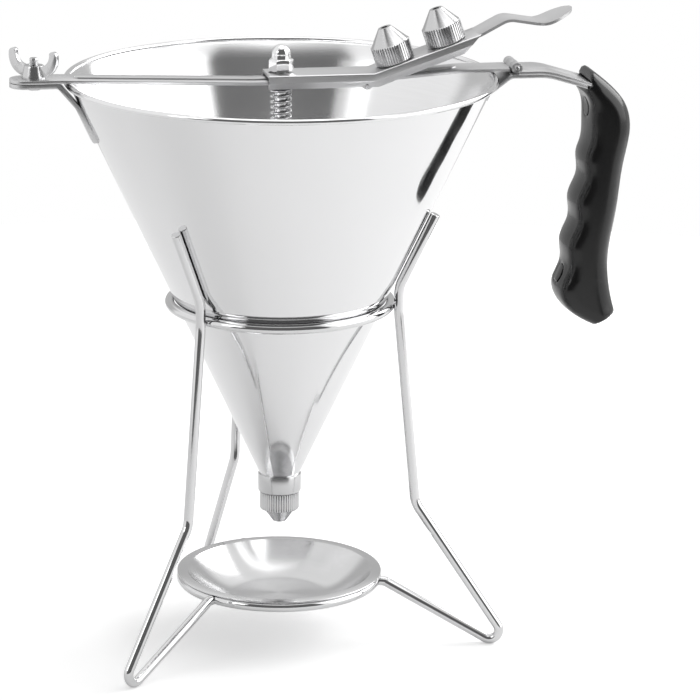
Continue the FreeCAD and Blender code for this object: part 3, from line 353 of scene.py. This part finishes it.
def paint(piece, slot):
    piece.data.materials.clear()
    piece.data.materials.append(FINISHES[slot])


def none_selected():
    """Leaves nothing selected, in object mode."""
    if bpy.context.mode != "OBJECT":
        bpy.ops.object.mode_set(mode="OBJECT")
    bpy.ops.object.select_all(action="DESELECT")


def alone(piece):
    """Leaves only this piece selected, in object mode."""
    none_selected()
    piece.select_set(True)
    bpy.context.view_layer.objects.active = piece


def apply_modifier(piece, name, kind, **settings):
    """Changes the selected piece's mesh by a modifier with these settings."""
    modifier = piece.modifiers.new(name, kind)
    for key, value in settings.items():
        setattr(modifier, key, value)
    bpy.ops.object.modifier_apply(modifier=modifier.name)


def body_with(node):
    for body, nodes in frame["record"]["behaviour"]["bodies"].items():
        if node in nodes:
            return body
    raise RuntimeError("no body for " + node)


def seat(piece, node, smooth=35.0):
    """Smooths a piece, gives it its node's finish and body, and lets it stand for the node."""
    alone(piece)
    bpy.ops.object.shade_smooth_by_angle(angle=math.radians(smooth))
    slot = slot_of(node)
    paint(piece, slot)
    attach(piece, body_with(node))
    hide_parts(node)
    return piece


def select_where(piece, test):
    """Selects the vertices that pass the test, in edit mode."""
    bpy.ops.mesh.select_all(action="DESELECT")
    bpy.ops.object.mode_set(mode="OBJECT")
    for vertex in piece.data.vertices:
        vertex.select = test(vertex.co)
    bpy.ops.object.mode_set(mode="EDIT")


def turned(name, outline, steps=192, closed=True):
    """A piece turned about the upright axis from its outline of (radius, height) points."""
    none_selected()
    bpy.ops.mesh.primitive_plane_add(size=0.001)
    piece = bpy.context.object
    piece.name = piece.data.name = name
    bpy.ops.object.mode_set(mode="EDIT")
    bpy.ops.mesh.select_mode(type="VERT")
    bpy.ops.mesh.select_all(action="SELECT")
    bpy.ops.mesh.merge(type="CENTER")
    radius, height = outline[0]
    bpy.ops.transform.translate(value=(radius, 0, height))
    for (r0, z0), (r1, z1) in zip(outline, outline[1:]):
        bpy.ops.mesh.extrude_region_move(TRANSFORM_OT_translate={"value": (r1 - r0, 0, z1 - z0)})
    if closed:
        ends = [Vector((r, 0, z)) for r, z in (outline[0], outline[-1])]
        select_where(piece, lambda co: any((co - end).length < MERGE for end in ends))
        bpy.ops.mesh.edge_face_add()
    bpy.ops.mesh.select_all(action="SELECT")
    bpy.ops.mesh.spin(steps=steps, angle=2 * math.pi, center=(0, 0, 0), axis=(0, 0, 1))
    bpy.ops.mesh.select_all(action="SELECT")
    bpy.ops.mesh.remove_doubles(threshold=MERGE)
    bpy.ops.mesh.normals_make_consistent(inside=False)
    bpy.ops.object.mode_set(mode="OBJECT")
    return piece


def arc(centre, radius, first, last, count):
    """Points of an arc in the outline plane, from one angle to another in degrees."""
    points = []
    for i in range(count + 1):
        angle = math.radians(first + (last - first) * i / count)
        points.append((centre[0] + radius * math.cos(angle), centre[1] + radius * math.sin(angle)))
    return points


def wire_piece(name, points, radius, sides=6):
    """A round wire along the points, with closed ends."""
    curve = bpy.data.curves.new(name, "CURVE")
    curve.dimensions = "3D"
    curve.bevel_depth = radius
    curve.bevel_resolution = sides
    curve.use_fill_caps = True
    spline = curve.splines.new("POLY")
    spline.points.add(len(points) - 1)
    for target, place in zip(spline.points, points):
        target.co = (*place, 1)
    piece = bpy.data.objects.new(name, curve)
    bpy.context.scene.collection.objects.link(piece)
    alone(piece)
    bpy.ops.object.convert(target="MESH")
    return bpy.context.object


def joined_copy(node):
    """A node's own shape as one joined mesh."""
    piece = bpy.data.objects.new(node + "_finished", frame["nodes"][node].data.copy())
    bpy.context.scene.collection.objects.link(piece)
    alone(piece)
    bpy.ops.object.mode_set(mode="EDIT")
    bpy.ops.mesh.select_all(action="SELECT")
    bpy.ops.mesh.remove_doubles(threshold=MERGE)
    bpy.ops.mesh.dissolve_limited(angle_limit=math.radians(FLAT_ANGLE))
    bpy.ops.object.mode_set(mode="OBJECT")
    return piece


def rounded(piece, node, edge=None, sharp=SHARP_ANGLE):
    """Rounds the sharp edges of a piece and seats it in its node's place."""
    width = sizes().edge if edge is None else edge
    if width > 0:
        apply_modifier(piece, "edges", "BEVEL", width=width, segments=2, limit_method="ANGLE",
                       angle_limit=math.radians(sharp), harden_normals=False)
    return seat(piece, node, smooth=sharp)


def clean_copy(node, edge=None):
    """A node's own shape with its edges slightly rounded."""
    return rounded(joined_copy(node), node, edge)


def make_lever():
    """Pressed lever: its folds are rounder than its cut edges, and a crease runs along its flanges."""
    s = sizes()
    level_end, bend_x, flanged_end = 0.03, 0.042, 0.06
    arm_slope = math.radians(18.8)
    facing_up, facing_aside = 0.8, 0.9
    fold_rows = 5
    piece = joined_copy("thumb_lever")
    half = max(abs(vertex.co.y) for vertex in piece.data.vertices if vertex.co.x < flanged_end)
    bpy.ops.object.mode_set(mode="EDIT")
    bpy.ops.mesh.select_mode(type="EDGE")
    bpy.ops.mesh.select_all(action="DESELECT")
    bpy.ops.object.mode_set(mode="OBJECT")
    mesh = piece.data
    sides = {}
    for face in mesh.polygons:
        for key in face.edge_keys:
            sides.setdefault(key, []).append(face.normal)
    for edge in mesh.edges:
        ends = [mesh.vertices[i].co for i in edge.vertices]
        normals = sides.get(edge.key, [])
        long_enough = (ends[0] - ends[1]).length > 2 * s.fold
        on_side = all(abs(abs(end.y) - half) < NEAR for end in ends)
        up = len(normals) == 2 and max(normal.z for normal in normals) > facing_up
        out = len(normals) == 2 and max(abs(normal.y) for normal in normals) > facing_aside
        edge.select = long_enough and on_side and up and out
    bpy.ops.object.mode_set(mode="EDIT")
    bpy.ops.mesh.bevel(offset=s.fold, segments=fold_rows, affect="EDGES")
    bpy.ops.mesh.select_mode(type="VERT")
    top = max(vertex.co.z for vertex in mesh.vertices if vertex.co.x < level_end)
    bend = Vector((bend_x, 0, top - s.crease_drop))
    arm_across = Vector((-math.sin(arm_slope), 0, math.cos(arm_slope)))
    for across in (UP, arm_across):
        bpy.ops.mesh.select_all(action="SELECT")
        bpy.ops.mesh.bisect(plane_co=bend, plane_no=across)
    bpy.ops.object.mode_set(mode="OBJECT")
    for vertex in mesh.vertices:
        across = UP if vertex.co.x < bend.x else arm_across
        on_crease = abs((vertex.co - bend).dot(across)) < NEAR
        if on_crease and abs(abs(vertex.co.y) - half) < NEAR:
            vertex.co.y += math.copysign(s.crease, vertex.co.y)
    return rounded(piece, "thumb_lever", sharp=20)


def make_grip():
    """Moulded grip: the finger side and the back are crowned from side to side."""
    s = sizes()
    node = "handle_grip"
    mesh_step, passes = 0.0008, 14
    step = 2 * mesh_step
    mouth, mouth_fade = 0.014, 0.022
    piece = joined_copy(node)
    apply_modifier(piece, "grain", "REMESH", mode="VOXEL", voxel_size=mesh_step)
    apply_modifier(piece, "smooth", "SMOOTH", iterations=passes)
    half = high(node)[1]
    middle = half / 4
    base, top = low(node)[2], high(node)[2]
    front, back = {}, {}
    for vertex in piece.data.vertices:
        row = int((vertex.co.z - base) / step)
        if abs(vertex.co.y) < middle:
            front[row] = min(front.get(row, vertex.co.x), vertex.co.x)
            back[row] = max(back.get(row, vertex.co.x), vertex.co.x)
    for vertex in piece.data.vertices:
        row = int((vertex.co.z - base) / step)
        if row not in front:
            continue
        share = (back[row] - vertex.co.x) / (back[row] - front[row])
        share = min(1.0, max(0.0, share))
        below_mouth = min(1.0, max(0.0, (top - mouth - vertex.co.z) / mouth_fade))
        aside = (vertex.co.y / half) ** 2 * below_mouth
        vertex.co.x += aside * (s.finger_crown * share ** 2 - s.back_crown * (1 - share) ** 2)
    piece.data.update()
    return seat(piece, node, smooth=50)


def make_bowl():
    """Spun bowl with its rolled bead."""
    s = sizes()
    rows = 24
    bead_start, bead_end, bead_rows = -70, 205, 20
    rim = BOWL_REACH - s.bead
    bead_height = RIM_HEIGHT - s.bead
    slope = (rim - s.outlet) / (RIM_HEIGHT - OUTLET_HEIGHT)
    top = bead_height - s.bead
    wall = []
    for i in range(1, rows + 1):
        height = OUTLET_HEIGHT + (top - OUTLET_HEIGHT) * i / rows
        wall.append((s.outlet + slope * (height - OUTLET_HEIGHT), height))
    outline = [(s.outlet - s.bowl_wall, OUTLET_HEIGHT), (s.outlet, OUTLET_HEIGHT)] + wall
    outline += arc((rim, bead_height), s.bead, bead_start, bead_end, bead_rows)
    outline += [(radius - s.bowl_wall, height) for radius, height in reversed(wall)]
    return seat(turned("bowl_spun", outline, steps=256), "funnel_cone", smooth=50)


def make_tray():
    """Pressed saucer with a flat rim and a rounded edge."""
    s = sizes()
    rows = 24
    edge_rows = 6
    outer = high("drip_tray")[0]
    top = high("drip_tray")[2]
    bottom = low("drip_tray")[2]
    inner = outer - s.tray_rim
    flat = s.tray_flat
    under = top - s.sheet
    half = s.sheet / 2
    upper, lower = [], []
    for i in range(rows + 1):
        radius = flat + (inner - flat) * i / rows
        lift = (i / rows) ** s.tray_cone
        upper.append((radius, bottom + s.sheet + (top - bottom - s.sheet) * lift))
        lower.append((radius + half / 2, bottom + (under - bottom) * lift))
    outline = [(0, bottom), (flat, bottom)] + lower[1:] + [(outer - half, under)]
    outline += arc((outer - half, under + half), half, -90, 90, edge_rows)[1:]
    outline += upper[::-1] + [(0, bottom + s.sheet)]
    return seat(turned("tray_pressed", outline, closed=False), "drip_tray", smooth=40)


def make_ring(node, name):
    """A hoop of wire."""
    bpy.ops.object.select_all(action="DESELECT")
    height = (high(node)[2] + low(node)[2]) / 2
    bpy.ops.mesh.primitive_torus_add(
        major_radius=high(node)[0] - WIRE, minor_radius=WIRE, major_segments=192, minor_segments=28)
    piece = bpy.context.object
    piece.name = piece.data.name = name
    bpy.ops.object.mode_set(mode="EDIT")
    bpy.ops.mesh.select_all(action="SELECT")
    bpy.ops.transform.translate(value=(0, 0, height))
    bpy.ops.object.mode_set(mode="OBJECT")
    return seat(piece, node)


def make_leg(node):
    """Leg of the stand, with the weld that joins its end to the tray's hoop."""
    leg = joined_copy(node)
    hoop = high("tray_ring")[0] - WIRE
    height = (high("tray_ring")[2] + low("tray_ring")[2]) / 2
    middle = sum((vertex.co for vertex in leg.data.vertices), Vector())
    out = Vector((middle.x, middle.y, 0)).normalized()
    run_slope = math.radians(LEG_RUN_SLOPE)
    end = out * (hoop + 2 * WIRE) + UP * height
    start = end + (out * math.cos(run_slope) - UP * math.sin(run_slope)) * WIRE / 2
    weld = wire_piece(node + "_weld", [start, end, out * (hoop + WIRE / 2) + UP * height], WIRE)
    alone(weld)
    leg.select_set(True)
    bpy.context.view_layer.objects.active = leg
    bpy.ops.object.join()
    return rounded(leg, node, WIRE_EDGE, sharp=50)


def nozzle_outline(tip, shoulder):
    """Outline of a nozzle that stands tip up on zero."""
    s = sizes()
    reach = high("fitted_nozzle")[0]
    chamfer = NOZZLE_CHAMFER
    bore, neck, orifice = 0.00766, 0.0062, 0.0016
    end, wall, soft = 0.0031, 0.001, 0.0003
    top = s.skirt + tip
    return [
        (bore, 0), (reach - chamfer, 0), (reach, chamfer), (reach, s.skirt - chamfer),
        (reach - chamfer, s.skirt), (shoulder + soft, s.skirt), (shoulder, s.skirt + soft),
        (end + soft, top - chamfer), (end, top), (orifice, top), (orifice, top - wall),
        (neck, s.skirt - wall), (bore, s.skirt - wall),
    ]


def make_nozzle(name, tip, shoulder):
    """A turned nozzle whose skirt has a straight knurl."""
    s = sizes()
    rows_per_tooth = 4
    groove_share = 0.1
    piece = turned(name, nozzle_outline(tip, shoulder), s.knurl_teeth * rows_per_tooth)
    reach = high("fitted_nozzle")[0]
    alone(piece)
    bpy.ops.object.mode_set(mode="EDIT")

    def in_groove(co):
        tooth = math.atan2(co.y, co.x) / (2 * math.pi) * s.knurl_teeth
        in_skirt = co.xy.length > reach - MERGE * 10 and co.z < s.skirt - NOZZLE_CHAMFER / 2
        return in_skirt and abs(tooth % 1 - 0.5) < groove_share

    select_where(piece, in_groove)
    shrink = 1 - s.knurl_depth / reach
    bpy.ops.transform.resize(value=(shrink, shrink, 1), center_override=(0, 0, 0))
    bpy.ops.object.mode_set(mode="OBJECT")
    return piece


def apply_place(piece, matrix):
    piece.data.transform(matrix)
    piece.data.update()


def make_nozzles():
    """The fitted nozzle and the two spare ones on the lever."""
    s = sizes()
    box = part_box("fitted_nozzle")
    fitted = make_nozzle("nozzle_fitted", box[1][2] - box[0][2] - s.skirt, FITTED_SHOULDER)
    flip = Matrix.Translation((0, 0, box[1][2])) @ Matrix.Rotation(math.pi, 4, "X")
    apply_place(fitted, flip)
    seat(fitted, "fitted_nozzle", smooth=28)
    for node, joint_name in (("spare_nozzle_small", "spare_small_turn"),
                             ("spare_nozzle_large", "spare_large_turn")):
        joint = JOINTS[joint_name]
        spare = make_nozzle(node + "_knurled", SPARE_TIP, SPARE_SHOULDER)
        lean = UP.rotation_difference(Vector(joint["axis"])).to_matrix().to_4x4()
        gap = Matrix.Translation((0, 0, SPARE_GAP))
        apply_place(spare, Matrix.Translation(joint["pos_m"]) @ lean @ gap)
        seat(spare, node, smooth=28)


def make_spring():
    """Return spring, wound in one wire with closed end turns."""
    s = sizes()
    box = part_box("return_spring")
    bottom, top = box[0][2], box[1][2]
    mean = box[1][0] - s.spring_wire
    closed = 1.0
    end_gap = 0.00055
    per_turn = 32
    end_pitch = 2 * s.spring_wire + end_gap
    travel = top - bottom - 2 * s.spring_wire
    pitch = (travel - 2 * closed * end_pitch) / (s.spring_turns - 2 * closed)
    points = []
    for i in range(int(s.spring_turns * per_turn) + 1):
        turn = i / per_turn
        climb = min(turn, closed) * end_pitch
        climb += max(0.0, min(turn, s.spring_turns - closed) - closed) * pitch
        climb += max(0.0, turn - (s.spring_turns - closed)) * end_pitch
        angle = 2 * math.pi * turn
        points.append((mean * math.cos(angle), mean * math.sin(angle), bottom + s.spring_wire + climb))
    wound = wire_piece("spring_wound", points, s.spring_wire, sides=3)
    piece = seat(wound, "return_spring", smooth=50)
    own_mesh(piece)


def make_stud():
    """Threaded stud: a rolled thread above a plain shank and a low rivet head."""
    s = sizes()
    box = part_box("wing_stud")
    x = (box[0][0] + box[1][0]) / 2
    bottom, top = box[0][2], box[1][2]
    head = box[1][0] - x
    head_height, head_chamfer = 0.0014, 0.0006
    major = 0.00205
    thread_depth, thread_below_bar = 0.6, 0.003
    root_start, root_end, crest = 0.35, 0.5, 0.85
    minor = major - thread_depth * s.thread_pitch
    start = high("bridge_bar")[2] - thread_below_bar
    turns = int((top - start) / s.thread_pitch)
    outline = [(0, bottom), (head - head_chamfer, bottom), (head, bottom + head_height),
               (major, bottom + head_height), (major, start)]
    for i in range(turns):
        base = start + i * s.thread_pitch
        outline += [(minor, base + s.thread_pitch * root_start), (minor, base + s.thread_pitch * root_end),
                    (major, base + s.thread_pitch * crest)]
    outline += [(minor, top), (0, top)]
    piece = turned("stud_threaded", outline, steps=48, closed=False)
    apply_place(piece, Matrix.Translation((x, 0, 0)))
    return seat(piece, "wing_stud")


class StandOperator(bpy.types.Operator):
    """Wire legs and hoops of the stand"""

    bl_idname = "dispenser.stand"
    bl_label = "Stand"

    def execute(self, context):
        make_ring("cone_ring", "hoop_cone")
        make_ring("tray_ring", "hoop_tray")
        for node in ("stand_leg_1", "stand_leg_2", "stand_leg_3"):
            make_leg(node)
        return {"FINISHED"}


class TrayOperator(bpy.types.Operator):
    """Drip tray"""

    bl_idname = "dispenser.tray"
    bl_label = "Drip tray"

    def execute(self, context):
        make_tray()
        return {"FINISHED"}


class BowlOperator(bpy.types.Operator):
    """Spun bowl and its turned outlet"""

    bl_idname = "dispenser.bowl"
    bl_label = "Bowl"

    def execute(self, context):
        make_bowl()
        clean_copy("outlet_collar", edge=TURNED_EDGE)
        return {"FINISHED"}


class NozzleOperator(bpy.types.Operator):
    """Fitted nozzle and the two spare ones"""

    bl_idname = "dispenser.nozzles"
    bl_label = "Nozzles"

    def execute(self, context):
        make_nozzles()
        return {"FINISHED"}


class SheetOperator(bpy.types.Operator):
    """Bridge, lever, lugs and straps"""

    bl_idname = "dispenser.sheet_metal"
    bl_label = "Bridge, lever and straps"

    def execute(self, context):
        make_lever()
        for node in ("bridge_bar", "stud_bracket", "handle_bracket", "hinge_strap"):
            clean_copy(node)
        return {"FINISHED"}


class HardwareOperator(bpy.types.Operator):
    """Stud, nuts, pins, posts and spring"""

    bl_idname = "dispenser.hardware"
    bl_label = "Hardware"

    def execute(self, context):
        make_stud()
        make_spring()
        for node in ("acorn_nut", "wing_nut", "hinge_pin", "pivot_pin", "nozzle_posts", "valve_rod"):
            clean_copy(node)
        return {"FINISHED"}


class GripOperator(bpy.types.Operator):
    """Moulded grip and its plugs"""

    bl_idname = "dispenser.grip"
    bl_label = "Grip"

    def execute(self, context):
        make_grip()
        clean_copy("grip_plugs", edge=TURNED_EDGE)
        return {"FINISHED"}


class FinishOperator(bpy.types.Operator):
    """Finishes of the pieces that keep the frame's own shape"""

    bl_idname = "dispenser.finishes"
    bl_label = "Finishes"

    def execute(self, context):
        FINISHES.update(make_finishes())
        for node, shape in frame["nodes"].items():
            paint(shape, slot_of(node))
        return {"FINISHED"}


def photo_camera():
    """Camera of the photograph, from a fit to the rim, the hoop and the tray."""
    turn = math.radians(-9.68)
    height_angle = math.radians(11.11)
    distance = 1.6582
    focal_pixels = 3596.5
    rim_pixel = (281.2, 75.5)
    roll_angle = math.radians(0.28)
    rim = Vector((0, 0, 0.270))
    away = Vector((math.cos(height_angle) * math.sin(turn), -math.cos(height_angle) * math.cos(turn),
                   math.sin(height_angle)))
    data = bpy.data.cameras.new("camera")
    data.sensor_width = SENSOR * 1000
    data.lens = focal_pixels / PHOTO_SIDE * data.sensor_width
    data.clip_start = 0.05
    data.clip_end = 100
    camera = bpy.data.objects.new("camera", data)
    bpy.context.scene.collection.objects.link(camera)
    roll = Matrix.Rotation(roll_angle, 3, "Z")
    look = (-away).to_track_quat("-Z", "Y").to_matrix() @ roll
    middle = PHOTO_SIDE / 2
    seen = Vector((rim_pixel[0] - middle, middle - rim_pixel[1], -focal_pixels)).normalized()
    aim = look @ seen.rotation_difference(Vector((0, 0, -1))).to_matrix()
    camera.matrix_world = Matrix.Translation(rim + away * distance) @ aim.to_4x4()
    bpy.context.scene.camera = camera


def white_room():
    """Pale surroundings: dim behind the camera and grey low at the back, for the steel to show."""
    camera_side = (-0.168, -0.986, 0.0)
    ahead_side, ahead_top = (0.61, 0.70), (0.78, 0.90)
    behind_side, behind_top = (-0.75, -0.55), (0.34, 0.50)
    dim_ahead, dim_behind, diffuse = 0.86, 0.42, 0.45
    world = bpy.data.worlds.new("room")
    bpy.context.scene.world = world
    world.use_nodes = True
    finish = Finish(world.node_tree)
    direction = finish.add("ShaderNodeTexCoord", {}, out="Generated")
    up = finish.height(direction)
    level = finish.add("ShaderNodeVectorMath", {"operation": "MULTIPLY"}, direction, (1, 1, 0))
    level = finish.add("ShaderNodeVectorMath", {"operation": "NORMALIZE"}, level)
    toward = finish.add("ShaderNodeVectorMath", {"operation": "DOT_PRODUCT"}, level, camera_side,
                        out="Value")
    ahead = finish.ramp(toward, *ahead_side, 0.0, 1.0)
    under_lamps = finish.ramp(up, *ahead_top, 1.0, 0.0)
    behind = finish.ramp(toward, *behind_side, 1.0, 0.0) * finish.ramp(up, *behind_top, 1.0, 0.0)
    dim = ahead * under_lamps * dim_ahead + behind * dim_behind
    rays = finish.add("ShaderNodeLightPath", {}, out="Is Camera Ray")
    glossy = Signal(finish, rays.socket.node.outputs["Is Glossy Ray"])
    through = Signal(finish, rays.socket.node.outputs["Is Transmission Ray"])
    mirrored = glossy * (1.0 - dim)
    seen = rays.math("MAXIMUM", mirrored).math("MAXIMUM", through)
    other = (1.0 - rays) * (1.0 - glossy) * (1.0 - through) * diffuse
    finish.add("ShaderNodeOutputWorld", {},
               finish.add("ShaderNodeBackground", {}, (1, 1, 1, 1), seen + other))


def floor():
    """Pale floor, lit a little from within so that it runs into the surroundings."""
    pale = (0.93, 0.93, 0.93, 1)
    glow, glow_in_steel = 0.34, 0.06
    bpy.ops.object.select_all(action="DESELECT")
    bpy.ops.mesh.primitive_circle_add(vertices=96, radius=0.85, fill_type="NGON")
    piece = bpy.context.object
    piece.name = "floor"
    material, finish = new_material("floor_pale")
    rays = finish.add("ShaderNodeLightPath", {}, out="Is Camera Ray")
    glossy = Signal(finish, rays.socket.node.outputs["Is Glossy Ray"])
    shader = finish.add("ShaderNodeBsdfPrincipled", {}, Base_Color=pale, Roughness=0.9,
                        Specular_IOR_Level=0.0, Emission_Color=(1, 1, 1, 1),
                        Emission_Strength=rays * glow + glossy * glow_in_steel)
    finish.add("ShaderNodeOutputMaterial", {}, shader)
    piece.data.materials.append(material)


def lamp(name, place, width, watts):
    """A square lamp that points at the middle of the part."""
    aim = Vector((0, 0, 0.15))
    data = bpy.data.lights.new(name, "AREA")
    data.shape = "SQUARE"
    data.size = width
    data.energy = watts
    light = bpy.data.objects.new(name, data)
    light.location = place
    light.rotation_euler = (aim - Vector(place)).to_track_quat("-Z", "Y").to_euler()
    bpy.context.scene.collection.objects.link(light)


class StageOperator(bpy.types.Operator):
    """Floor, lamps, surroundings and the photograph's camera"""

    bl_idname = "dispenser.stage"
    bl_label = "Stage"

    def execute(self, context):
        context.scene.view_settings.view_transform = "Standard"
        photo_camera()
        white_room()
        floor()
        lamp("lamp_top", (0.15, 0.1, 1.7), width=1.2, watts=5.0)
        lamp("lamp_behind", (1.35, 0.5, 1.05), width=1.1, watts=14.0)
        lamp("lamp_left", (-1.5, -0.9, 1.0), width=0.7, watts=3.0)
        lamp("lamp_right", (1.5, -0.5, 0.85), width=1.6, watts=11.0)
        return {"FINISHED"}


STEPS = (FinishOperator, StageOperator, BowlOperator, StandOperator, TrayOperator, NozzleOperator,
         SheetOperator, HardwareOperator, GripOperator)


class DispenserPanel(bpy.types.Panel):
    """Sizes, colours and steps of the dispenser"""

    bl_idname = "VIEW3D_PT_dispenser"
    bl_label = "Dispenser"
    bl_space_type = "VIEW_3D"
    bl_region_type = "UI"
    bl_category = "Dispenser"

    def draw(self, context):
        layout = self.layout
        for group in (context.scene.dispenser_sizes, context.scene.dispenser_colours):
            for name in group.__annotations__:
                layout.prop(group, name)
        for step in STEPS:
            layout.operator(step.bl_idname)


GROUPS = (DispenserSizes, DispenserColours)


def register():
    for item in GROUPS + STEPS + (DispenserPanel,):
        bpy.utils.register_class(item)
    bpy.types.Scene.dispenser_sizes = PointerProperty(type=DispenserSizes)
    bpy.types.Scene.dispenser_colours = PointerProperty(type=DispenserColours)


def unregister():
    del bpy.types.Scene.dispenser_colours
    del bpy.types.Scene.dispenser_sizes
    for item in reversed(GROUPS + STEPS + (DispenserPanel,)):
        bpy.utils.unregister_class(item)


def main():
    register()
    for step in STEPS:
        group, name = step.bl_idname.split(".")
        getattr(getattr(bpy.ops, group), name)()


if __name__ == "__main__":
    main()
